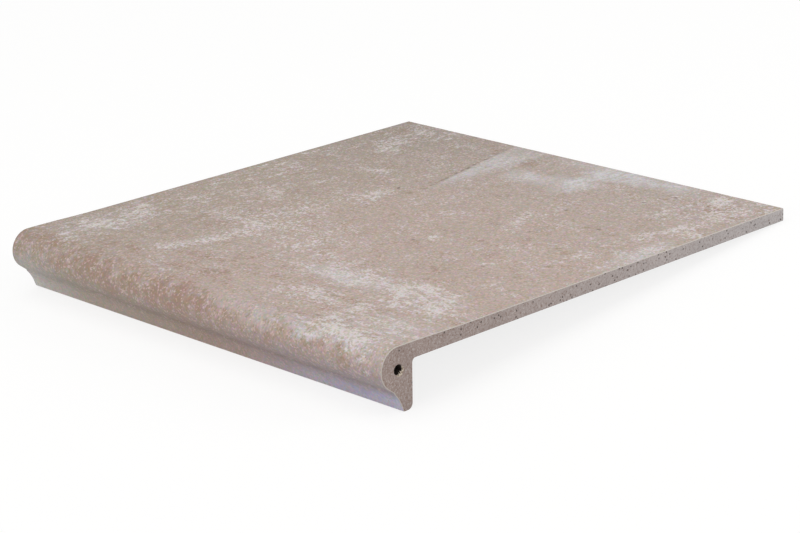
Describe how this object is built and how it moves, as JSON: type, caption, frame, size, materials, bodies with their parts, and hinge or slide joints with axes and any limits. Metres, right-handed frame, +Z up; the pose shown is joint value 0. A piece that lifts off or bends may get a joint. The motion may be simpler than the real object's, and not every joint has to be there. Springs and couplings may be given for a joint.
{
  "type": "stair tread tile",
  "caption": "One-piece extruded stoneware stair tread with a rounded nose, a lip that drops in front of the riser, and a mottled matt glaze on top.",
  "frame": {"origin": "centre of the outline seen from above, on the floor that the tile lies on", "axes": "+Z up; +Y from the nose to the back edge, along the floor; +X along the nose, to the right of somebody who looks from the nose to the back edge. The tile lies face up on the heel of its lip and the bottom of its back edge, so the tread falls towards the back edge by 5.22 degrees."},
  "size_m": [0.33, 0.3422, 0.0387],
  "materials": {
    "glazed_stoneware": "matt mottled beige-taupe glaze on the tread, the nose and the lip's front; bare grey-beige fired body on the cut ends, the back and underneath"
  },
  "bodies": {
    "root": {"stair_tread_tile": "glazed_stoneware"}
  },
  "joints": []
}
